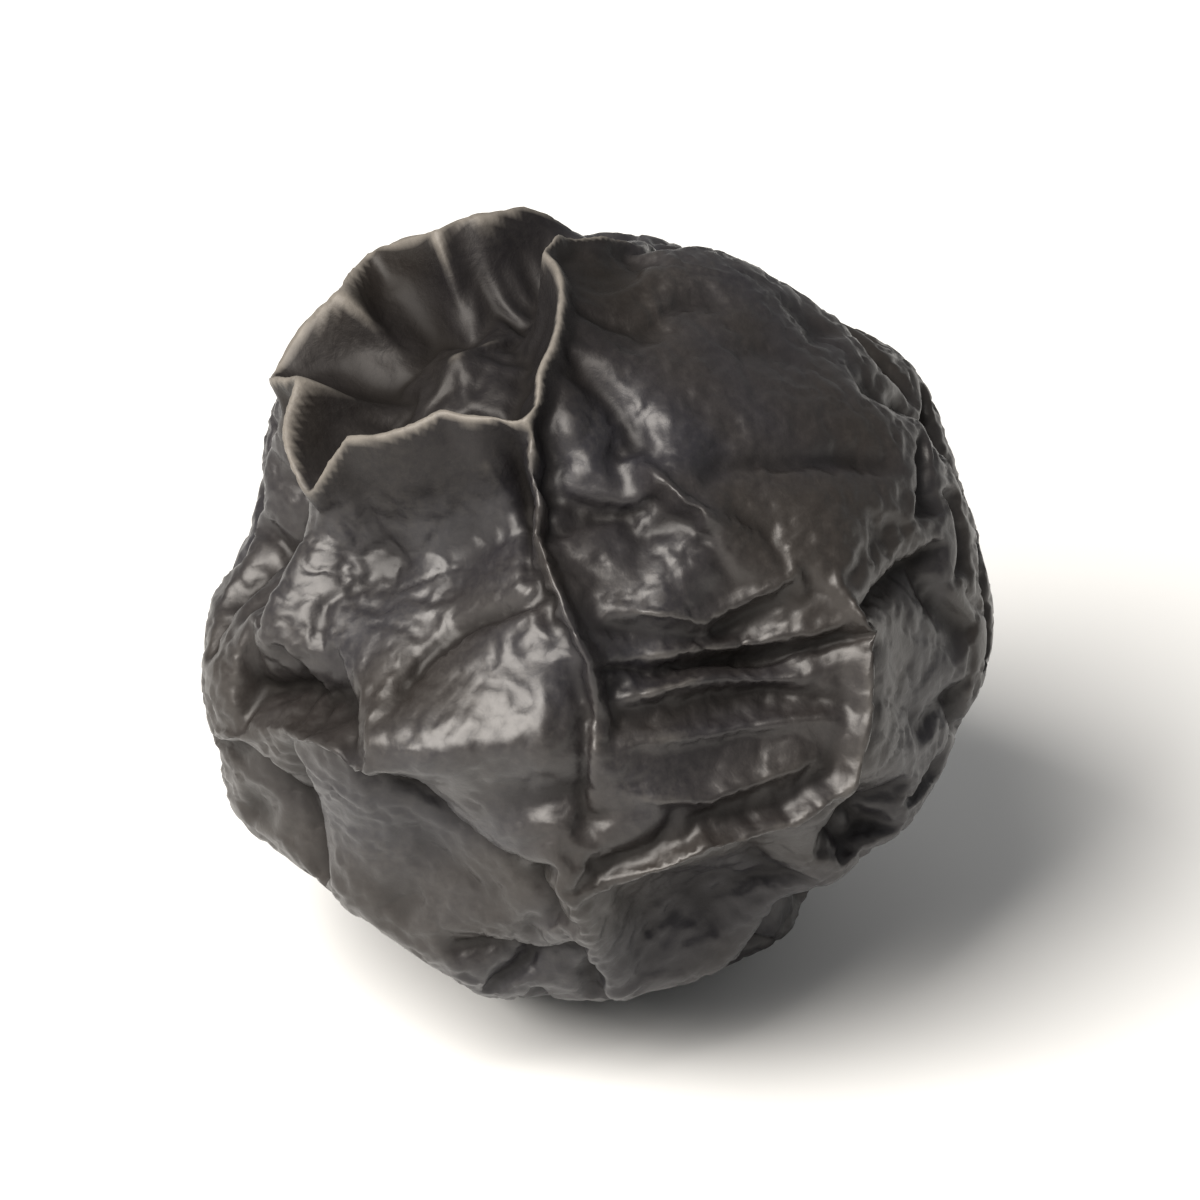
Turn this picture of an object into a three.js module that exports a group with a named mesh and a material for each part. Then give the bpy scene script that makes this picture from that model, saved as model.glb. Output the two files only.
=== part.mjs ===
// A dried blueberry, as one solid: a shrivelled fruit with its calyx crown and its stem scar.
// Units are millimetres and +Z is up. The berry rests on its flattened underside at z = 0,
// and the origin is the middle of its footprint. Its front faces -Y.
import * as THREE from "three";

// Driving dimensions, in mm unless a name says otherwise.
const BODY_RADIUS = 5.5; // from the core to the skin between the hollows
const AXIS_SHARE = 0.96; // the berry is this much shorter from crown to stem than across
const REST_SHARE = 0.945; // the underside is flat this far below the core, as a share of the radius
const RIDGE_ROUNDING = 0.045; // how softly two neighbouring hollows meet in a ridge
const SECTORS = 84; // the skin is cut into this many sectors round the crown's axis
const CUP_RINGS = 10; // from the middle of the cup to the crown's rim
const SKIN_RINGS = 40; // from the rim to the pole opposite the crown
const CUP_RING_POWER = 0.6; // below 1, the cup's rings crowd together towards the rim
const NEXT_RING_SHARE = 0.3; // the ring next to the rim is this much of an even step from it
const DROPPED_BELOW = 4; // a bowl this many roundings clear of the skin is left out

// The calyx crown: a thin standing rim with five lobes round a sunken cup.
const CROWN_AXIS = [-72, 66]; // azimuth and elevation, in degrees
const RIM_HEIGHT = 0.36;
const RIM_HALF_WIDTH = 0.15;
const CUP_DEPTH = 0.95;
const CUP_SLOPE = 0.36; // the share of the way from the rim to the middle that is sloping
const CROWN_SKIRT = 12; // how far outside the rim the crown still lifts the hollows, in degrees
const LOBES_LIE_DOWN = [22, 38]; // from here out, in degrees, the lobes come down onto the body
const STYLE_SCAR_RADIUS = 0.45;
const STYLE_SCAR_HEIGHT = 0.25;
// The rim, as the turn about the crown's axis and the angle away from it, both in degrees.
const RIM = [
  [8, 28],
  [22, 23.5],
  [48, 20.5],
  [85, 17.5],
  [99, 21],
  [107, 43], // the long lobe, folded outwards
  [118, 41],
  [140, 23],
  [160, 19],
  [184, 27],
  [206, 20],
  [236, 28],
  [258, 20],
  [291, 31],
  [304, 23],
  [343, 21],
];

// The scar that the stem left, nearly opposite the crown.
const STEM_AXIS = [125, -48];
const STEM_SCAR_ANGLE = 9; // half the scar's width, in degrees
const STEM_SCAR_DEPTH = 0.35;
const STEM_LIP_HEIGHT = 0.16;
const STEM_LIP_HALF_WIDTH = 0.28;

// The large hollows of the skin, each a shallow oval bowl. Where two bowls meet they leave a ridge.
// at is azimuth and elevation of the middle, half is the half length and half width before the bowl
// is turned anticlockwise by turn, all in degrees, and deep is in mm.
const HOLLOWS = [
  { at: [-38, 33], half: [25, 20], turn: 0, deep: 1.04 }, // pocket under the crown
  { at: [-17, 45], half: [7, 17], turn: -12, deep: 0.78 }, // crease beside the spine
  { at: [6, 43], half: [10, 18], turn: -8, deep: 0.52 }, // other side of the spine
  { at: [22, 20], half: [21, 16], turn: 0, deep: 0.65 }, // the bundle of small folds
  { at: [62, 56], half: [34, 24], turn: 0, deep: 0.21 }, // smooth right shoulder
  { at: [60, 8], half: [15, 27], turn: 6, deep: 0.47 }, // right cheek
  { at: [-50, 9], half: [17, 8], turn: 8, deep: 0.65 }, // crease above the left ridge
  { at: [-26, -14], half: [23, 20], turn: 0, deep: 0.65 }, // lower left facet
  { at: [-54, -14], half: [18, 17], turn: 0, deep: 0.55 },
  { at: [20, -23], half: [20, 17], turn: 12, deep: 0.98 }, // lower right facet
  { at: [-8, -34], half: [14, 14], turn: 0, deep: 0.45 },
  { at: [44, -12], half: [8, 9], turn: 0, deep: 0.6 }, // notch in the right cheek
  { at: [62, -38], half: [26, 20], turn: 0, deep: 1.65 }, // the taper to the underside
  { at: [38, -53], half: [20, 13], turn: 0, deep: 0.7 },
  { at: [-58, -44], half: [26, 17], turn: 0, deep: 0.95 },
  { at: [-12, -58], half: [24, 14], turn: 0, deep: 0.3 },
  { at: [-101, 14], half: [20, 22], turn: 0, deep: 1.2 },
  { at: [-76, 24], half: [19, 20], turn: 0, deep: 0.85 }, // left flank
  { at: [-92, -8], half: [20, 18], turn: 0, deep: 0.75 },
  { at: [-110, 38], half: [22, 16], turn: 20, deep: 0.72 },
  { at: [92, 22], half: [20, 30], turn: -10, deep: 0.25 },
  { at: [90, -20], half: [24, 18], turn: 0, deep: 0.65 },
  { at: [124, 46], half: [24, 18], turn: -15, deep: 0.42 },
  { at: [128, 6], half: [22, 24], turn: 10, deep: 0.91 },
  { at: [160, 28], half: [20, 22], turn: 0, deep: 0.78 },
  { at: [172, -10], half: [24, 20], turn: -12, deep: 1.04 },
  { at: [-148, 26], half: [22, 26], turn: 12, deep: 0.91 },
  { at: [-128, -8], half: [22, 20], turn: 0, deep: 0.78 },
  { at: [-152, -34], half: [26, 16], turn: 0, deep: 0.65 },
  { at: [165, 62], half: [26, 16], turn: 0, deep: 0.59 },
];

// The small puckers between them, longer from crown to stem than across.
const PUCKER_COUNT = 240;
const PUCKER_HALF = [12, 6.5]; // in degrees
const PUCKER_SIZES = [0.75, 1.25]; // the smallest and the largest, as shares of that
const PUCKER_DEPTHS = [0.12, 0.28];
const PUCKER_TURN = 40; // how far one may turn out of line, in degrees
const PUCKER_SHIFT = 0.5; // how far one may move round the crown's axis, in radians
const PUCKER_SEED = 7;

const DEGREE = Math.PI / 180;

// The unit vector at an azimuth (0 is the front, 90 the right side) and an elevation (90 is up).
function direction([azimuth, elevation]) {
  const level = Math.cos(elevation * DEGREE);
  return new THREE.Vector3(
    level * Math.sin(azimuth * DEGREE),
    -level * Math.cos(azimuth * DEGREE),
    Math.sin(elevation * DEGREE),
  );
}

// A place on the berry with its two tangents: along turns with growing azimuth, up rises.
function placeAt(axis) {
  const along = new THREE.Vector3(-axis.y, axis.x, 0).normalize();
  const up = new THREE.Vector3().crossVectors(axis, along);
  return { axis, along, up };
}

const crown = placeAt(direction(CROWN_AXIS));
const stem = placeAt(direction(STEM_AXIS));

// A repeatable stream of numbers from 0 to 1.
function randomStream(seed) {
  let state = seed;
  return () => {
    state = (Math.imul(state, 1664525) + 1013904223) >>> 0;
    return state / 2 ** 32;
  };
}

// An oval bowl: its own axes are the place's tangents, turned.
function makeBowl(place, half, turn, deep) {
  const long = place.along.clone().applyAxisAngle(place.axis, turn * DEGREE);
  const across = place.up.clone().applyAxisAngle(place.axis, turn * DEGREE);
  return {
    axis: place.axis,
    long: long.divideScalar(Math.sin(half[0] * DEGREE)),
    across: across.divideScalar(Math.sin(half[1] * DEGREE)),
    deep,
  };
}

function makeHollows() {
  return HOLLOWS.map(({ at, half, turn, deep }) =>
    makeBowl(placeAt(direction(at)), half, turn, deep),
  );
}

// Puckers stand on a spiral from the crown to the stem, each moved and turned a little.
function makePuckers() {
  const random = randomStream(PUCKER_SEED);
  const between = ([low, high]) => THREE.MathUtils.lerp(low, high, random());
  const goldenTurn = Math.PI * (3 - Math.sqrt(5));
  return Array.from({ length: PUCKER_COUNT }, (_, i) => {
    const height = 1 - (2 * i + 1) / PUCKER_COUNT;
    const level = Math.sqrt(1 - height * height);
    const spin = i * goldenTurn + PUCKER_SHIFT * random();
    const axis = crown.axis
      .clone()
      .multiplyScalar(height)
      .addScaledVector(crown.along, level * Math.cos(spin))
      .addScaledVector(crown.up, level * Math.sin(spin))
      .normalize();
    const meridian = crown.axis.clone().addScaledVector(axis, -crown.axis.dot(axis)).normalize();
    const place = { axis, along: meridian, up: new THREE.Vector3().crossVectors(axis, meridian) };
    const size = between(PUCKER_SIZES);
    const half = PUCKER_HALF.map((angle) => angle * size);
    return makeBowl(place, half, between([-PUCKER_TURN, PUCKER_TURN]), between(PUCKER_DEPTHS));
  });
}

// How far a set of bowls sinks the skin in one direction. The deepest wins, with a soft change-over.
function sunkBy(bowls, towards) {
  let sum = 1;
  for (const bowl of bowls) {
    if (towards.dot(bowl.axis) <= 0) continue;
    const x = towards.dot(bowl.long);
    const y = towards.dot(bowl.across);
    const depth = bowl.deep * (1 - x * x - y * y);
    if (depth > -DROPPED_BELOW * RIDGE_ROUNDING) sum += Math.exp(depth / RIDGE_ROUNDING);
  }
  return RIDGE_ROUNDING * Math.log(sum);
}

function bump(distance, halfWidth) {
  return Math.exp(-((distance / halfWidth) ** 2));
}

// The angle from the crown's axis to its rim at one turn about that axis, all in degrees.
function rimAngle(turn) {
  const start = RIM[0][0];
  const from = start + THREE.MathUtils.euclideanModulo(turn - start, 360);
  const next = RIM.findIndex(([rimTurn]) => rimTurn > from);
  const [turn1, angle1] = next < 0 ? [start + 360, RIM[0][1]] : RIM[next];
  const [turn0, angle0] = RIM.at(next < 0 ? -1 : next - 1);
  return THREE.MathUtils.mapLinear(from, turn0, turn1, angle0, angle1);
}

// The skin's distance from the core in one direction.
function skinRadius(towards, hollows, puckers) {
  const onAxis = towards.dot(crown.axis);
  const base = BODY_RADIUS * (1 - (1 - AXIS_SHARE) * onAxis * onAxis);
  const body = base - sunkBy(hollows, towards) - sunkBy(puckers, towards);

  const fromCrown = Math.acos(THREE.MathUtils.clamp(onAxis, -1, 1)) / DEGREE;
  const turn = Math.atan2(towards.dot(crown.up), towards.dot(crown.along)) / DEGREE;
  const toRim = rimAngle(turn);
  const cup = CUP_DEPTH * THREE.MathUtils.smoothstep(1 - fromCrown / toRim, 0, CUP_SLOPE);
  const styleScar = STYLE_SCAR_HEIGHT * bump(fromCrown * DEGREE * base, STYLE_SCAR_RADIUS);
  const skirt = THREE.MathUtils.smoothstep(fromCrown - toRim, 0, CROWN_SKIRT);
  const lying = THREE.MathUtils.smoothstep(fromCrown, ...LOBES_LIE_DOWN);
  const crowned = THREE.MathUtils.lerp(base - cup + styleScar, body, Math.max(skirt, lying));
  const rim = RIM_HEIGHT * bump((fromCrown - toRim) * DEGREE * base, RIM_HALF_WIDTH);

  const fromStem = Math.acos(THREE.MathUtils.clamp(towards.dot(stem.axis), -1, 1)) / DEGREE;
  const pastScar = (fromStem - STEM_SCAR_ANGLE) * DEGREE * base;
  const scar = STEM_SCAR_DEPTH * THREE.MathUtils.smoothstep(-pastScar, 0, STEM_LIP_HALF_WIDTH);
  const lip = STEM_LIP_HEIGHT * bump(pastScar, STEM_LIP_HALF_WIDTH);
  return crowned + rim - scar + lip;
}

// One ring's angle from the crown's axis. Ring CUP_RINGS follows the crown's rim exactly.
function ringAngle(ring, turn) {
  const toRim = rimAngle(turn);
  if (ring <= CUP_RINGS) return toRim * (ring / CUP_RINGS) ** CUP_RING_POWER;
  const share = (ring - CUP_RINGS) / SKIN_RINGS;
  const spaced = THREE.MathUtils.lerp(NEXT_RING_SHARE * share, share, Math.sqrt(share));
  return toRim + (180 - toRim) * spaced;
}

// The skin point of one ring and sector.
function skinPoint(ring, sector, hollows, puckers) {
  const turn = (360 * sector) / SECTORS;
  const angle = ringAngle(ring, turn) * DEGREE;
  const point = crown.axis.clone().multiplyScalar(Math.cos(angle));
  point.addScaledVector(crown.along, Math.sin(angle) * Math.cos(turn * DEGREE));
  point.addScaledVector(crown.up, Math.sin(angle) * Math.sin(turn * DEGREE));
  return point.multiplyScalar(skinRadius(point, hollows, puckers));
}

// Rings of points from pole to pole, with a fan of triangles at each pole.
function berryGeometry() {
  const hollows = makeHollows();
  const puckers = makePuckers();
  const rings = CUP_RINGS + SKIN_RINGS - 1;
  const points = [skinPoint(0, 0, hollows, puckers)];
  for (let ring = 1; ring <= rings; ring++) {
    for (let sector = 0; sector < SECTORS; sector++) {
      points.push(skinPoint(ring, sector, hollows, puckers));
    }
  }
  points.push(skinPoint(rings + 1, 0, hollows, puckers));

  const floor = -REST_SHARE * BODY_RADIUS;
  for (const point of points) point.z = Math.max(point.z, floor);

  const index = [];
  const at = (ring, sector) => 1 + (ring - 1) * SECTORS + (sector % SECTORS);
  for (let sector = 0; sector < SECTORS; sector++) {
    index.push(0, at(1, sector), at(1, sector + 1));
    for (let ring = 1; ring < rings; ring++) {
      const [a, b] = [at(ring, sector), at(ring, sector + 1)];
      const [c, d] = [at(ring + 1, sector + 1), at(ring + 1, sector)];
      index.push(a, d, c, a, c, b);
    }
    index.push(at(rings, sector + 1), at(rings, sector), points.length - 1);
  }

  const geometry = new THREE.BufferGeometry().setFromPoints(points);
  geometry.setIndex(index);
  geometry.computeBoundingBox();
  const { min, max } = geometry.boundingBox;
  geometry.translate(-(min.x + max.x) / 2, -(min.y + max.y) / 2, -floor);
  geometry.computeVertexNormals();
  return geometry;
}

const skin = new THREE.MeshStandardMaterial({ color: 0x1f1c1b, roughness: 0.45, metalness: 0 });
const berry = new THREE.Mesh(berryGeometry(), skin);
berry.name = "dried_blueberry";

const part = new THREE.Group();
part.add(berry);

export default part;
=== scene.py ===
import math
from collections import namedtuple

import bmesh
import bpy
import numpy as np
from bpy.props import FloatProperty, FloatVectorProperty, IntProperty, PointerProperty
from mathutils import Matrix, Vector
from mathutils.bvhtree import BVHTree


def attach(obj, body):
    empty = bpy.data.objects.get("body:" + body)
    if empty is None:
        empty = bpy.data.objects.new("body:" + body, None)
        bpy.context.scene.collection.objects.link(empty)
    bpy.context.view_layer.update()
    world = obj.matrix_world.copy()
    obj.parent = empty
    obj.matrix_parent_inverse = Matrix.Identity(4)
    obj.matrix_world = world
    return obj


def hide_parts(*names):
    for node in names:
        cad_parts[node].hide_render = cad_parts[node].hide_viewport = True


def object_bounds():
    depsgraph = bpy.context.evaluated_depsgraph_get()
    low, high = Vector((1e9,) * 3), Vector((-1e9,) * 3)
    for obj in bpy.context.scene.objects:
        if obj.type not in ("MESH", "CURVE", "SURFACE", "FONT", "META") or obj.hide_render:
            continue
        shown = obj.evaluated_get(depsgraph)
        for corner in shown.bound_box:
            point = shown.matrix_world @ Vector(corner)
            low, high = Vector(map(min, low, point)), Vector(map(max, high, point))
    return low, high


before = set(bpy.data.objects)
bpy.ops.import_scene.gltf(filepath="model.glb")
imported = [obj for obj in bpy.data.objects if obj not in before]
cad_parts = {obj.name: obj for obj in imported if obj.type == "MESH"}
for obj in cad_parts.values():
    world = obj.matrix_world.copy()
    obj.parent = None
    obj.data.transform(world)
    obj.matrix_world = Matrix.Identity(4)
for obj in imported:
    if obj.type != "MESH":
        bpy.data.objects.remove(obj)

bl_info = {
    "name": "Dried Blueberry",
    "version": (1, 0, 0),
    "blender": (4, 5, 0),
    "location": "View3D > Sidebar > Dried Berry",
    "description": "Builds a shrivelled dried blueberry with its calyx crown, on a studio floor",
    "category": "Add Mesh",
}

CAD_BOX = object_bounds()
BERRY = "dried_blueberry"
MM = 0.001

# Places on the berry are azimuth and elevation in degrees: 0, 0 is the front and 90, 0 the right side.
CROWN_AXIS = (-72, 66)
STEM_AXIS = (125, -48)
CORE = Vector((-0.12, 0.01, 5.2)) * MM  # the middle of the berry's body
BODY_RADIUS = 5.5 * MM
CROWN_REACH = 34  # how far the crown's skin goes from its axis, in degrees
STEM_SCAR_REACH = 11
SOFT_EDGE = 6  # how many of those degrees the crown and the scar take to fade in
CREASES_START = 22  # how far from the crown's axis the net of fine creases starts, in degrees
CREASES_FADE = 12
BUNDLE = ((24, 16), 38)  # the small level folds on the right: their middle, and how far they reach

# How the skin lies on the core.
CLEAR_HEIGHT = 0.9 * MM  # above this the floor no longer presses the skin smooth
RIM_STANDS_OUT = 0.05 * MM  # what stands out more than this in the crown stays sharp
TALLEST_FOLD = 0.08 * MM  # folds that would stand out further are flattened
FLATTENING = 0.85  # by this share of what is past that height
FIRST_CUTS = 24  # how finely the skin is cut for the first stage of the drying
BUNDLE_GRAIN = 0.8  # how much of the bundle's growth goes up and down only
BUNDLE_FIRMNESS = 6  # how much more firmly the core holds the bundle, which makes its folds small
PLAIN_LOOSENESS = 0.9
PLAIN_DUSTING_AND_PAINTED_LIGHT = 0.5

# How the skin moves in each step of the drying.
STEP = 0.22
MOMENTUM = 0.9
ANCHOR = 0.002  # how firmly each point keeps its place along the skin
GRAIN_GROWTH = 1.6  # growth along the grain, against the same growth all ways

# Ridges, and creases where the height is below 0: the places along each, its height and half width.
# Each comes up to its height over the first part of its length, and goes down over the last.
RIDGE_TAPER = 4
RIDGE_END = 0.25
RIDGES = (
    (((-16, 57), (-14, 52), (-10, 41), (-4, 31), (0, 24), (1, 18)), 0.40 * MM, 0.14 * MM),
    (((-20, 53), (-18, 46), (-13, 36), (-6, 26)), -0.16 * MM, 0.16 * MM),
    (((-66, -5), (-41, 4), (-27, 6)), 0.24 * MM, 0.13 * MM),
    (((-36, 7), (-26, 9), (-12, 12), (-1, 12)), 0.42 * MM, 0.5 * MM),
    (((-62, 4), (-56, 6), (-48, 9)), -0.15 * MM, 0.25 * MM),
    (((3, -10), (16, -4), (28, -3), (38, 2)), 0.28 * MM, 0.14 * MM),
    (((-5, -1), (0, -19), (5, -34), (7, -44)), 0.22 * MM, 0.35 * MM),
    (((6, 31), (20, 29), (36, 32)), 0.12 * MM, 0.12 * MM),
    (((8, 24), (22, 25), (40, 23)), 0.13 * MM, 0.12 * MM),
    (((5, 18), (18, 19), (34, 16)), 0.13 * MM, 0.12 * MM),
    (((7, 12), (20, 11), (36, 10)), 0.12 * MM, 0.12 * MM),
    (((6, 5), (16, 3), (32, 5)), 0.11 * MM, 0.12 * MM),
    (((42, 28), (43, 20), (40, 10), (34, -6)), 0.28 * MM, 0.14 * MM),
    (((14, 52), (20, 46), (26, 41)), 0.2 * MM, 0.16 * MM),
)
# How loose the skin is from one place outwards, in degrees: the smooth facets hardly wrinkle.
LOOSE_PLACES = (
    ((62, 58), 42, 0.5),
    ((-26, -16), 24, 0.55),
    ((60, 8), 18, 0.6),
    ((18, -23), 22, 0.6),
    ((-36, 34), 26, 0.4),
    ((-15, 11), 19, 0.12),
    ((24, 20), 34, 1.5),
    ((20, 4), 18, 1.3),
)
# How much of the bloom is left on the skin from one place outwards, in degrees. The shares also paint
# light and shade: high on the facets towards the key light, none on the lower right facet that lies in
# shade.
DUSTED_AND_PAINTED_LIGHT_PLACES = (
    ((-36, 36), 26, 1.0),
    ((-26, -16), 28, 0.75),
    ((-14, 11), 18, 0.9),
    ((22, -26), 28, 0.0),
    ((62, 56), 42, 0.3),
    ((60, -10), 24, 0.3),
)

# Colours of the places that differ from the plain skin.
# Painted shade for the bottoms of the folds.
PAINTED_FOLD_SHADE = (0.0025, 0.0021, 0.0018, 1)
# Partly paler rubbed skin, partly a painted highlight on the crests.
WORN_CREST_AND_PAINTED_HIGHLIGHT = (0.085, 0.078, 0.07, 1)
# Partly the crown's own darker skin, partly painted shade in its cup.
CROWN_CUP_AND_PAINTED_SHADE = (0.005, 0.004, 0.0034, 1)
# Partly the paler dry tips of the crown, partly a painted highlight on its rim.
CROWN_RIM_AND_PAINTED_HIGHLIGHT = (0.19, 0.172, 0.15, 1)
STEM_SCAR = (0.05, 0.034, 0.022, 1)

# The key light, seen from the berry's core.
KEY_PLACE = (-45, 48)
KEY_DISTANCE = 0.16
KEY_SIZE = 0.12
KEY_COLOUR = (1.0, 0.96, 0.91)
FRAME_SHARE = 0.66  # how much of the picture's width the berry fills
FLOOR_HALF = 0.6


def direction(azimuth, elevation):
    a, e = math.radians(azimuth), math.radians(elevation)
    return np.array([math.cos(e) * math.sin(a), -math.cos(e) * math.cos(a), math.sin(e)])


# ---------------------------------------------------------------- the drying skin


# One stage of the drying. growth is how much too long the skin is, bend its stiffness, and hold_above
# and hold_below how firmly the core holds it above and below its place. finest is the narrowest half
# width of a ridge, rounding the passes that smooth the core, and cup and bundle the shares of the
# growth that the cup of the crown and the bundle of small folds get.
Stage = namedtuple("Stage", "growth bend hold_above hold_below steps finest rounding cup bundle")


def drying_stages(settings):
    """The three stages. After each one the spacing of the skin's points is halved."""
    return (
        Stage(
            growth=settings.fold_growth, bend=0.5, hold_above=0.010, hold_below=0.004, steps=260,
            finest=0.45 * MM, rounding=4, cup=0.05, bundle=0.3,
        ),
        Stage(
            growth=settings.wrinkle_growth, bend=0.4, hold_above=0.030, hold_below=0.008, steps=260,
            finest=0.25 * MM, rounding=16, cup=0.9, bundle=1.1,
        ),
        Stage(
            growth=settings.fine_growth, bend=0.3, hold_above=0.030, hold_below=0.010, steps=200,
            finest=0.12 * MM, rounding=64, cup=1.0, bundle=1.2,
        ),
    )


def geodesic(steps):
    """Points and triangles of a unit sphere whose 20 starting faces are cut into steps each way."""
    shape = bmesh.new()
    bmesh.ops.create_icosphere(shape, subdivisions=1, radius=1.0)
    corners = [[v.co.normalized() for v in face.verts] for face in shape.faces]
    shape.free()
    points, faces = [], []
    for a, b, c in corners:
        row_start = []
        for i in range(steps + 1):
            row_start.append(len(points))
            for j in range(steps + 1 - i):
                points.append(tuple((a * (steps - i - j) + b * i + c * j).normalized()))
        for i in range(steps):
            for j in range(steps - i):
                p, q = row_start[i] + j, row_start[i + 1] + j
                faces.append((p, q, p + 1))
                if j < steps - i - 1:
                    faces.append((q, q + 1, p + 1))
    points, faces = np.array(points), np.array(faces)
    _, first, merged = np.unique(points.round(5), axis=0, return_index=True, return_inverse=True)
    return points[first], merged.reshape(-1)[faces]


def split_edges(faces, count):
    """Cuts each triangle in four. Returns the new triangles and the two old points behind each point."""
    sides = np.sort(faces[:, [[0, 1], [1, 2], [2, 0]]].reshape(-1, 2), axis=1)
    edges, which = np.unique(sides, axis=0, return_inverse=True)
    ab, bc, ca = (which.reshape(-1, 3) + count).T
    a, b, c = faces.T
    quarters = [(a, ab, ca), (ab, b, bc), (ca, bc, c), (ab, bc, ca)]
    old = np.arange(count)
    parents = np.vstack([np.column_stack([old, old]), edges])
    return np.vstack([np.column_stack(q) for q in quarters]), parents


def neighbours_of(faces, count):
    """The six neighbours of each point. The twelve points with five have themselves as the sixth."""
    pairs = np.unique(np.vstack([faces[:, [0, 1]], faces[:, [1, 2]], faces[:, [2, 0]]]), axis=0)
    first = np.searchsorted(pairs[:, 0], np.arange(count))
    table = np.repeat(np.arange(count)[:, None], 6, axis=1)
    table[pairs[:, 0], np.arange(len(pairs)) - first[pairs[:, 0]]] = pairs[:, 1]
    return table


def normals_of(points, faces):
    a, b, c = (points[faces[:, i]] for i in range(3))
    flat = np.cross(b - a, c - a)
    total = np.stack([
        sum(np.bincount(faces[:, i], flat[:, k], len(points)) for i in range(3)) for k in range(3)
    ], axis=1)
    return total / np.sqrt((total * total).sum(1))[:, None]


def smoothed(values, table, passes, share=0.5):
    for _ in range(passes):
        values = values + share * (values[table].mean(1) - values)
    return values


def dry(rest, table, faces, loose, grain, firm, stage):
    """Lets a skin that is too large for its core buckle into folds, and returns how each point moved.
    loose is each point's share of the growth, which goes all ways where grain is zero, and only along
    grain where that is a unit vector. firm is how firmly the core holds each point in its place."""
    normal = normals_of(rest, faces)
    rest_edges = rest[table] - rest[:, None]
    length = np.sqrt((rest_edges ** 2).sum(2)) + 1e-12
    along = (rest_edges * grain[:, None]).sum(2) / length
    plain = 1 - np.sqrt((grain ** 2).sum(1))
    wanted = length * (1 + stage.growth * loose[:, None] * (plain[:, None] + GRAIN_GROWTH * along ** 2))
    moved = np.zeros_like(rest)
    speed = np.zeros_like(rest)
    for _ in range(stage.steps):
        apart = moved[table] - moved[:, None]
        edges = rest_edges + apart
        now = np.sqrt((edges ** 2).sum(2)) + 1e-12
        push = (edges * (1 - wanted / now)[..., None]).sum(1)
        bent = apart.mean(1)
        push -= stage.bend * (bent[table].mean(1) - bent)
        out = (moved * normal).sum(1)
        hold = np.where(out > 0, stage.hold_above, stage.hold_below)
        push -= (hold * firm * out)[:, None] * normal
        push -= ANCHOR * moved
        speed = MOMENTUM * (speed + STEP * push)
        moved = moved + speed
    return moved


class CadSkin:
    """The berry's outside as the frame holds it, seen from the core."""

    def __init__(self, node):
        shape = bmesh.new()
        shape.from_mesh(node.data)
        bmesh.ops.remove_doubles(shape, verts=shape.verts, dist=1e-7)
        self.tree = BVHTree.FromBMesh(shape)
        shape.free()

    def points(self, directions):
        found = np.array([self.tree.ray_cast(CORE, Vector(d))[0] for d in directions])
        return found - np.array(CORE)


def away_from(points, place):
    """How far each point lies from a place, in degrees."""
    return np.degrees(np.arccos(np.clip(points @ direction(*place), -1, 1)))


def near(points, place, reach):
    """1 at a place, and 0 from reach degrees away."""
    share = np.clip(1 - away_from(points, place) / reach, 0, 1)
    return share * share * (3 - 2 * share)


def ridges(points, finest):
    """How far the listed ridges and creases lift or sink each point."""
    lift = np.zeros(len(points))
    for path, height, width in RIDGES:
        width = max(width, finest)
        found = np.zeros(len(points))
        ends = [direction(*place) for place in path]
        for k, (a, b) in enumerate(zip(ends, ends[1:])):
            along = (points - a) @ (b - a) / ((b - a) @ (b - a))
            share = np.clip(along, 0, 1)
            gap = points - (a + share[:, None] * (b - a))
            away = np.sqrt((gap ** 2).sum(1)) * BODY_RADIUS
            from_end = (k + share) / (len(ends) - 1)
            taper = np.clip(RIDGE_TAPER * np.minimum(from_end, 1 - from_end) + RIDGE_END, 0, 1)
            found = np.maximum(found, taper * np.exp(-((away / width) ** 2)))
        lift += height * found
    return lift


def standing_out(points, normal, table, passes, reach):
    """How far each point stands out of the skin round it: 0.5 is level, 1 is reach above."""
    level = smoothed(points, table, passes)
    return np.clip(0.5 + 0.5 * ((points - level) * normal).sum(1) / reach, 0, 1)


def spread(points, plain, places):
    """A number for each point: plain, but each place's own share round that place."""
    values = np.full(len(points), plain)
    for place, reach, share in places:
        values += (share - values) * near(points, place, reach)
    return values


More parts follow.
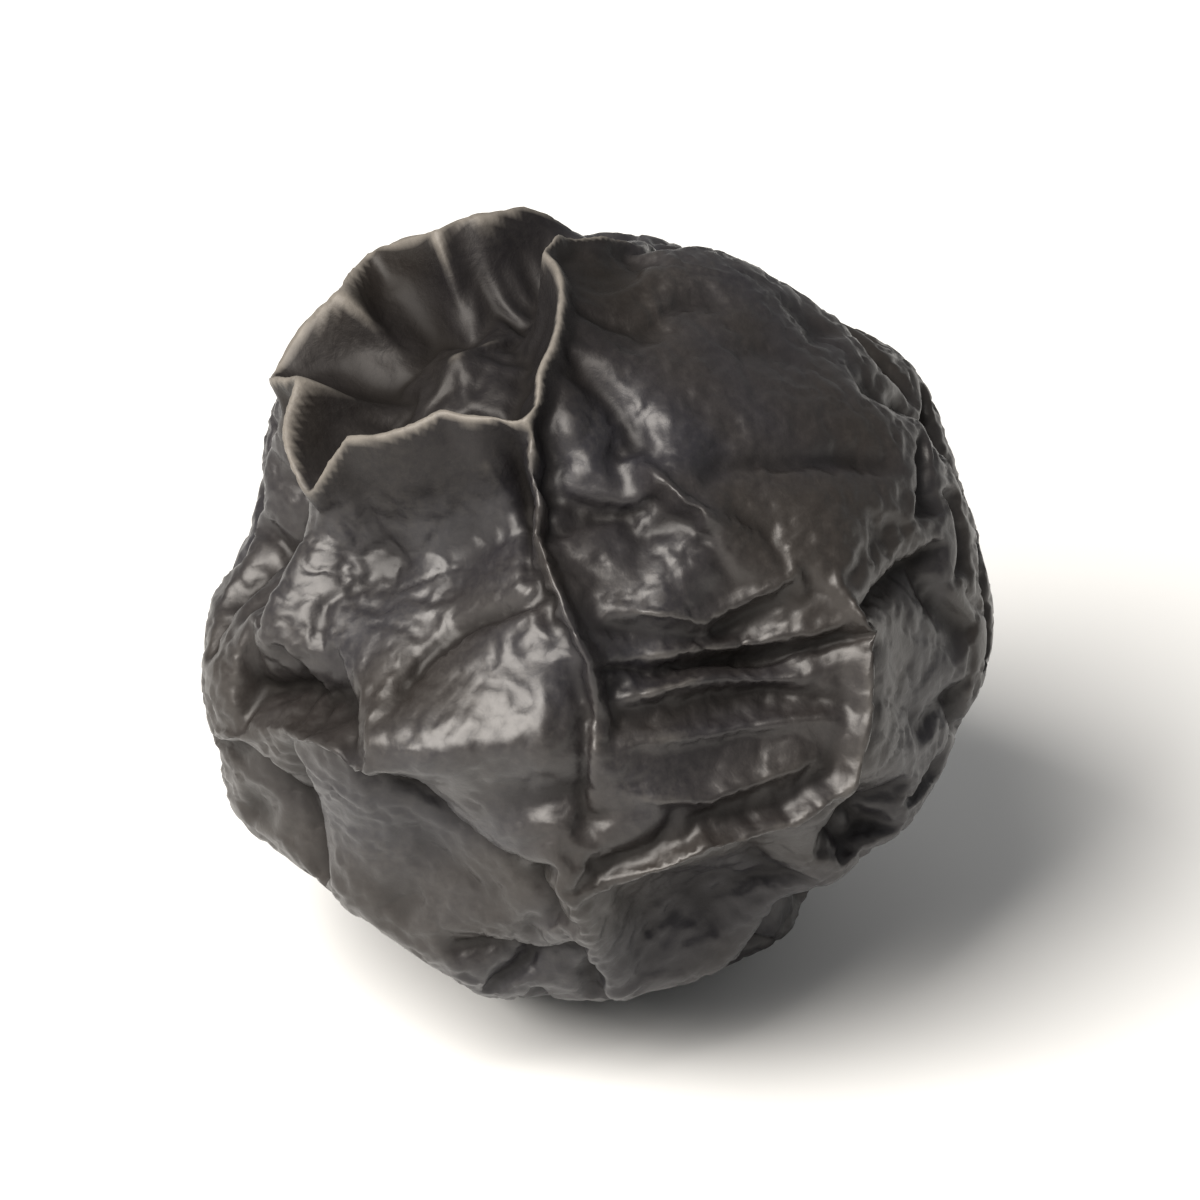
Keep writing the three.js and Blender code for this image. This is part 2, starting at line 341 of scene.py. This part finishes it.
def berry_skin(settings):
    """The points and faces of the dried skin round the core, and its masks."""
    cad = CadSkin(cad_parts[BERRY])
    points, faces = geodesic(FIRST_CUTS)
    moved = np.zeros_like(points)
    for level, stage in enumerate(drying_stages(settings)):
        if level:
            faces, parents = split_edges(faces, len(points))
            points = points[parents].mean(1)
            points /= np.sqrt((points ** 2).sum(1))[:, None]
            moved = moved[parents].mean(1)
        table = neighbours_of(faces, len(points))
        in_crown = np.clip((CROWN_REACH - away_from(points, CROWN_AXIS)) / SOFT_EDGE, 0, 1)
        sharp = smoothed(cad.points(points), table, 1)
        base = smoothed(sharp, table, stage.rounding)
        crest = np.clip(((sharp - base) * points).sum(1) / RIM_STANDS_OUT, 0, 1)
        on_rim = in_crown * smoothed(crest, table, 1)
        base += on_rim[:, None] * (sharp - base)
        base += points * ridges(points, stage.finest)[:, None]
        clear = np.clip((base[:, 2] + CORE.z) / CLEAR_HEIGHT, 0, 1)
        bundle = near(points, *BUNDLE)
        loose = spread(points, PLAIN_LOOSENESS, LOOSE_PLACES) * clear
        loose *= (1 + (stage.cup - 1) * in_crown) * (1 + (stage.bundle - 1) * bundle)
        grain = BUNDLE_GRAIN * bundle[:, None] * np.array([0, 0, 1.0])
        firm = 1 + BUNDLE_FIRMNESS * bundle
        rest = base + smoothed(moved, table, 2)
        skin = rest + dry(rest, table, faces, loose, grain, firm, stage)
        over = ((skin - base) * points).sum(1) - TALLEST_FOLD
        skin -= FLATTENING * np.maximum(over, 0)[:, None] * points
        skin[:, 2] = np.maximum(skin[:, 2], -CORE.z)
        moved = skin - base
    skin += on_rim[:, None] * (smoothed(skin, table, 3) - skin)
    masks = skin_masks(points, skin, faces, table)
    masks["crown"] = in_crown
    masks["rim"] = in_crown * np.clip(4 * masks["wrinkle_height"] - 3, 0, 1)
    masks["loose"] *= clear
    return skin, faces, masks


def skin_masks(points, skin, faces, table):
    """Numbers from 0 to 1 for each point of the skin, which its finish and its creases read."""
    normal = normals_of(skin, faces)
    return {
        "fold_height": standing_out(skin, normal, table, 60, 0.25 * MM),
        "wrinkle_height": standing_out(skin, normal, table, 8, 0.05 * MM),
        "dusting_and_painted_light": spread(points, PLAIN_DUSTING_AND_PAINTED_LIGHT, DUSTED_AND_PAINTED_LIGHT_PLACES),
        "stem_scar": np.clip((STEM_SCAR_REACH - away_from(points, STEM_AXIS)) / SOFT_EDGE, 0, 1),
        "loose": np.clip((away_from(points, CROWN_AXIS) - CREASES_START) / CREASES_FADE, 0.3, 1),
    }


# ---------------------------------------------------------------- node trees as expressions


class Value:
    """A socket of a node tree that can be used in sums."""

    def __init__(self, nodes, socket):
        self.nodes = nodes
        self.socket = socket

    def maths(self, operation, *values):
        return self.nodes.add("ShaderNodeMath", {"operation": operation}, values)

    def __add__(self, other):
        return self.maths("ADD", self, other)

    def __sub__(self, other):
        return self.maths("SUBTRACT", self, other)

    def __rsub__(self, other):
        return self.maths("SUBTRACT", other, self)

    def __mul__(self, other):
        return self.maths("MULTIPLY", self, other)

    def __rtruediv__(self, other):
        return self.maths("DIVIDE", other, self)

    __radd__ = __add__
    __rmul__ = __mul__

    def apart(self):
        return self.maths("ABSOLUTE", self)

    def between(self, low, high):
        """0 at low, 1 at high, with a smooth change between. low may be above high."""
        if low > high:
            return 1 - self.between(high, low)
        settings = {"interpolation_type": "SMOOTHSTEP"}
        return self.nodes.add("ShaderNodeMapRange", settings, (self, low, high))


class Nodes:
    """Adds nodes to one tree."""

    def __init__(self, tree):
        self.tree = tree

    def add(self, kind, settings, inputs=(), output=0):
        """Adds a node. inputs are values or links, in a row or by socket name or number."""
        node = self.tree.nodes.new(kind)
        for name, value in settings.items():
            setattr(node, name, value)
        named = inputs.items() if isinstance(inputs, dict) else enumerate(inputs)
        for key, value in named:
            self.feed(node.inputs[key], value)
        return Value(self, node.outputs[output])

    def feed(self, socket, value):
        if isinstance(value, Value):
            self.tree.links.new(value.socket, socket)
        else:
            socket.default_value = value

    def noise(self, place, size, detail=4.0, roughness=0.55, twist=0.0, seed=0.0):
        """Cloudy noise from 0 to 1 whose lumps are about size metres wide."""
        inputs = {
            "Vector": place, "W": seed, "Scale": 1 / size, "Detail": detail,
            "Roughness": roughness, "Distortion": twist,
        }
        return self.add("ShaderNodeTexNoise", {"noise_dimensions": "4D"}, inputs, "Fac")

    def blend(self, share, first, second):
        """The second colour over the first, by share."""
        inputs = {0: share, 6: first, 7: second}
        return self.add("ShaderNodeMix", {"data_type": "RGBA"}, inputs, 2)


def new_material(name, build, settings, **sockets):
    """A material whose surface shader gets constant sockets first, then what build adds."""
    material = bpy.data.materials.new(name)
    material.use_nodes = True
    nodes = Nodes(material.node_tree)
    surface = material.node_tree.nodes["Principled BSDF"].inputs
    for socket, value in sockets.items():
        surface[socket.replace("_", " ")].default_value = value
    for socket, value in build(nodes, settings).items():
        nodes.feed(surface[socket], value)
    return material


# ---------------------------------------------------------------- materials


def berry_finish(nodes, settings):
    """Satin near-black skin, duller in the folds, with painted shade in them and in the crown's cup,
    painted highlights on the crests, and bloom on what stands out whose spread also paints light and
    shade on the facets.
    """
    place = nodes.add("ShaderNodeTexCoord", {}, output="Object")
    height, fine, crown, rim, scar, dusting_and_painted_light = (
        nodes.add("ShaderNodeAttribute", {"attribute_name": name}, output="Fac")
        for name in ("fold_height", "wrinkle_height", "crown", "rim", "stem_scar", "dusting_and_painted_light")
    )

    hue = nodes.noise(place, 3.5 * MM, 2.0, 0.5, 0.6).between(0.38, 0.62)
    skin = nodes.blend(hue, (*settings.skin_colour, 1), (*settings.blue_colour, 1))
    patches = nodes.noise(place, 1.6 * MM, 6.0, 0.65, 0.8).between(0.42, 0.72)
    grain = nodes.noise(place, 0.12 * MM, 3.0, 0.6)
    speckle = grain.between(0.35, 0.7)
    # The bloom is partly real waxy dust and partly painted light and shade, since its shares follow how
    # the light falls on each facet.
    bloom = settings.bloom * dusting_and_painted_light * (0.4 + 0.6 * patches) * speckle * height.between(0.25, 0.6)
    skin = nodes.blend(bloom, skin, (*settings.bloom_colour, 1))
    # Painted shade: the bottoms of the folds are blended towards near-black.
    hollow = height.between(0.55, 0.15)
    skin = nodes.blend(hollow * 0.9, skin, PAINTED_FOLD_SHADE)
    # Partly paler rubbed skin, partly painted highlights along the crests of the fine wrinkles.
    worn_and_painted_highlight = fine.between(0.6, 1.0) * patches.between(0.0, 0.8) * 0.35
    skin = nodes.blend(worn_and_painted_highlight, skin, WORN_CREST_AND_PAINTED_HIGHLIGHT)
    # Partly the crown's own darker skin, partly painted shade in the recess of its cup.
    skin = nodes.blend(crown * 0.6, skin, CROWN_CUP_AND_PAINTED_SHADE)
    # Partly the paler dry rim of the crown, partly a painted highlight along its crest.
    skin = nodes.blend(rim * (0.45 + 0.4 * grain), skin, CROWN_RIM_AND_PAINTED_HIGHLIGHT)
    skin = nodes.blend(scar * (0.3 + 0.7 * speckle), skin, STEM_SCAR)

    wear = nodes.noise(place, 0.9 * MM, 5.0, 0.6, 0.3)
    roughness = 0.3 + 0.2 * wear + 0.25 * bloom + 0.1 * crown + 0.3 * hollow + 0.3 * scar
    gloss = (1 - hollow) * (1 - 0.7 * crown) * (0.3 + 0.55 * dusting_and_painted_light)
    ripples = nodes.noise(place, 0.16 * MM, 3.0, 0.55, 0.5)
    bump_inputs = {
        "Height": ripples + 0.35 * grain, "Strength": 0.5, "Distance": 0.035 * MM
    }
    normal = nodes.add("ShaderNodeBump", {}, bump_inputs)
    return {"Base Color": skin, "Roughness": roughness, "Coat Weight": gloss, "Normal": normal}


def floor_finish(nodes, settings):
    """A matt pale board, with the faintest mottle."""
    place = nodes.add("ShaderNodeTexCoord", {}, output="Object")
    mottle = nodes.noise(place, 12 * MM, 3.0)
    pale = (*settings.floor_colour, 1)
    darker = (*[0.97 * c for c in settings.floor_colour], 1)
    return {"Base Color": nodes.blend(mottle, pale, darker), "Roughness": 0.6 + 0.1 * mottle}


# ---------------------------------------------------------------- fine wrinkles


def fine_wrinkle_tree():
    """Geometry nodes that press a net of fine wrinkles into a skin, and give it its material."""
    tree = bpy.data.node_groups.new("Fine wrinkles", "GeometryNodeTree")
    sockets = tree.interface
    sockets.new_socket("Skin", in_out="OUTPUT", socket_type="NodeSocketGeometry")
    sockets.new_socket("Skin", in_out="INPUT", socket_type="NodeSocketGeometry")
    for name, kind, value in (
        ("Wrinkle depth", "NodeSocketFloat", 0.03 * MM),
        ("Wrinkle width", "NodeSocketFloat", 0.5 * MM),
        ("Pore depth", "NodeSocketFloat", 0.01 * MM),
        ("Seed", "NodeSocketInt", 0),
        ("Finish", "NodeSocketMaterial", None),
    ):
        socket = sockets.new_socket(name, in_out="INPUT", socket_type=kind)
        if value is not None:
            socket.default_value = value
    nodes = Nodes(tree)
    ends = tree.nodes.new("NodeGroupInput")
    skin, depth, width, pore, seed, finish = (Value(nodes, ends.outputs[i]) for i in range(6))

    place = nodes.add("GeometryNodeInputPosition", {})
    normal = nodes.add("GeometryNodeInputNormal", {})
    loose = nodes.add("GeometryNodeInputNamedAttribute", {"data_type": "FLOAT"}, ["loose"])
    lines = nodes.add(
        "ShaderNodeTexNoise", {"noise_dimensions": "4D"},
        {"Vector": place, "W": seed, "Scale": 1 / width, "Detail": 2.0, "Distortion": 0.8}, "Fac",
    )
    creases = (lines - 0.5).apart().between(0.0, 0.09) - 1
    pores = nodes.noise(place, 0.14 * MM, 1.0, 0.5, 0.0, 3.0).between(0.62, 0.75)
    out = loose * (depth * creases - pore * pores)
    offset = nodes.add("ShaderNodeVectorMath", {"operation": "SCALE"}, {0: normal, 3: out})
    moved = nodes.add("GeometryNodeSetPosition", {}, {"Geometry": skin, "Offset": offset})
    whole = nodes.add("GeometryNodeRealizeInstances", {}, [moved])
    dressed = nodes.add("GeometryNodeSetMaterial", {}, {"Geometry": whole, "Material": finish})
    nodes.feed(tree.nodes.new("NodeGroupOutput").inputs[0], dressed)
    return tree


def apply_tree(piece, tree, inputs):
    """Runs a geometry tree on a piece once, and leaves a plain mesh."""
    modifier = piece.modifiers.new(tree.name, "NODES")
    modifier.node_group = tree
    for item in tree.interface.items_tree:
        if item.in_out == "INPUT" and item.name in inputs:
            modifier[item.identifier] = inputs[item.name]
    evaluated = piece.evaluated_get(bpy.context.evaluated_depsgraph_get())
    finished = bpy.data.meshes.new_from_object(evaluated)
    piece.modifiers.remove(modifier)
    piece.data = finished
    finished.name = piece.name


def new_piece(name, points, faces):
    mesh = bpy.data.meshes.new(name)
    mesh.from_pydata([tuple(p) for p in points], [], [tuple(f) for f in faces])
    mesh.shade_smooth()
    piece = bpy.data.objects.new(name, mesh)
    bpy.context.scene.collection.objects.link(piece)
    return piece


def store(mesh, name, values):
    mesh.attributes.new(name, "FLOAT", "POINT").data.foreach_set("value", values)


# ---------------------------------------------------------------- settings


class BerrySettings(bpy.types.PropertyGroup):
    fold_growth: FloatProperty(
        name="Large folds", description="How much too long the skin is while it folds widely",
        default=0.03, min=0.0, max=0.15, subtype="FACTOR",
    )
    wrinkle_growth: FloatProperty(
        name="Wrinkles", description="How much too long the skin is while it wrinkles",
        default=0.09, min=0.0, max=0.15, subtype="FACTOR",
    )
    fine_growth: FloatProperty(
        name="Fine wrinkles", description="How much too long the skin is for the finest wrinkles",
        default=0.09, min=0.0, max=0.12, subtype="FACTOR",
    )
    crease_depth: FloatProperty(
        name="Crease depth", description="How deep the net of fine creases is pressed in",
        default=0.035 * MM, min=0.0, max=0.1 * MM, subtype="DISTANCE", unit="LENGTH",
    )
    seed: IntProperty(name="Seed", description="Which net of fine creases", default=4, min=0)
    skin_colour: FloatVectorProperty(
        name="Skin", description="Colour of the skin", subtype="COLOR", size=3,
        default=(0.015, 0.0122, 0.0105), min=0.0, max=1.0,
    )
    blue_colour: FloatVectorProperty(
        name="Blue skin", description="Colour of the bluer patches of skin", subtype="COLOR",
        size=3, default=(0.0115, 0.0108, 0.0135), min=0.0, max=1.0,
    )
    bloom_colour: FloatVectorProperty(
        name="Bloom", description="Colour of the waxy dust on the skin", subtype="COLOR", size=3,
        default=(0.05, 0.046, 0.042), min=0.0, max=1.0,
    )
    bloom: FloatProperty(
        name="Bloom amount", description="How much waxy dust is left", default=0.7, min=0.0,
        max=1.0, subtype="FACTOR",
    )


class StageSettings(bpy.types.PropertyGroup):
    azimuth: FloatProperty(
        name="Azimuth", description="Where the camera stands round the berry", default=0.0,
        subtype="ANGLE",
    )
    elevation: FloatProperty(
        name="Elevation", description="How steeply the camera looks down",
        default=math.radians(30), subtype="ANGLE",
    )
    distance: FloatProperty(
        name="Distance", description="From the camera to the berry", default=0.2,
        subtype="DISTANCE", unit="LENGTH",
    )
    floor_colour: FloatVectorProperty(
        name="Floor", description="Colour of the floor", subtype="COLOR", size=3,
        default=(0.74, 0.74, 0.73), min=0.0, max=1.0,
    )
    sky: FloatProperty(
        name="Room light", description="Strength of the even light from all round", default=0.34,
        min=0.0,
    )
    key: FloatProperty(
        name="Key light", description="Power of the soft light from the front left",
        default=0.74, min=0.0, subtype="POWER", unit="POWER",
    )


# ---------------------------------------------------------------- operators


def key_lamp(power):
    """A soft square lamp to the front left, which faces the berry's core."""
    lamp = bpy.data.lights.new("key", "AREA")
    lamp.size = KEY_SIZE
    lamp.energy = power
    lamp.color = KEY_COLOUR
    towards = Vector(direction(*KEY_PLACE))
    holder = bpy.data.objects.new("key", lamp)
    holder.location = CORE + KEY_DISTANCE * towards
    holder.rotation_euler = towards.to_track_quat("Z", "Y").to_euler()
    return holder


class DRIEDBERRY_OT_stage(bpy.types.Operator):
    """Adds the camera, the floor and the soft studio light"""

    bl_idname = "dried_berry.add_stage"
    bl_label = "Add Stage"

    def execute(self, context):
        settings = context.scene.stage_settings
        low, high = (Vector(corner) for corner in CAD_BOX)
        middle = (low + high) / 2
        scene = context.scene

        lens = bpy.data.cameras.new("camera")
        lens.lens = FRAME_SHARE * settings.distance / (high - low).x * lens.sensor_width
        lens.clip_start = 0.01
        camera = bpy.data.objects.new("camera", lens)
        towards = Vector(direction(math.degrees(settings.azimuth), math.degrees(settings.elevation)))
        camera.location = middle + settings.distance * towards
        camera.rotation_euler = towards.to_track_quat("Z", "Y").to_euler()
        scene.collection.objects.link(camera)
        scene.camera = camera

        half = FLOOR_HALF
        corners = [(-half, -half, 0), (half, -half, 0), (half, half, 0), (-half, half, 0)]
        floor = new_piece("floor", corners, [(0, 1, 2, 3)])
        floor.data.materials.append(new_material("Pale board", floor_finish, settings))

        scene.collection.objects.link(key_lamp(settings.key))
        world = bpy.data.worlds.new("room")
        world.use_nodes = True
        background = world.node_tree.nodes["Background"].inputs
        background["Color"].default_value = (1, 1, 1, 1)
        background["Strength"].default_value = settings.sky
        scene.world = world
        scene.view_settings.view_transform = "Standard"
        return {"FINISHED"}


class DRIEDBERRY_OT_berry(bpy.types.Operator):
    """Adds the dried berry, with its crown and its stem scar"""

    bl_idname = "dried_berry.add_berry"
    bl_label = "Add Berry"

    def execute(self, context):
        settings = context.scene.berry_settings
        points, faces, masks = berry_skin(settings)
        berry = new_piece("berry", points + np.array(CORE), faces)
        for name, values in masks.items():
            store(berry.data, name, values)
        finish = new_material(
            "Dried berry skin", berry_finish, settings, Coat_Roughness=0.4, Specular_IOR_Level=0.15,
            Specular_Tint=(1.0, 0.93, 0.87, 1.0),
        )
        apply_tree(berry, fine_wrinkle_tree(), {
            "Wrinkle depth": settings.crease_depth,
            "Seed": settings.seed,
            "Finish": finish,
        })
        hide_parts(BERRY)
        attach(berry, "root")
        return {"FINISHED"}


class DRIEDBERRY_PT_panel(bpy.types.Panel):
    bl_label = "Dried Berry"
    bl_idname = "DRIEDBERRY_PT_panel"
    bl_space_type = "VIEW_3D"
    bl_region_type = "UI"
    bl_category = "Dried Berry"

    def draw(self, context):
        scene = context.scene
        for operator, settings in (
            (DRIEDBERRY_OT_stage, scene.stage_settings), (DRIEDBERRY_OT_berry, scene.berry_settings)
        ):
            for name in settings.bl_rna.properties.keys():
                if name not in ("rna_type", "name"):
                    self.layout.prop(settings, name)
            self.layout.operator(operator.bl_idname)


CLASSES = (
    BerrySettings, StageSettings, DRIEDBERRY_OT_stage, DRIEDBERRY_OT_berry, DRIEDBERRY_PT_panel
)


def register():
    for cls in CLASSES:
        bpy.utils.register_class(cls)
    bpy.types.Scene.berry_settings = PointerProperty(type=BerrySettings)
    bpy.types.Scene.stage_settings = PointerProperty(type=StageSettings)


def unregister():
    del bpy.types.Scene.stage_settings
    del bpy.types.Scene.berry_settings
    for cls in reversed(CLASSES):
        bpy.utils.unregister_class(cls)


def main():
    register()
    bpy.ops.dried_berry.add_stage()
    bpy.ops.dried_berry.add_berry()


if __name__ == "__main__":
    main()
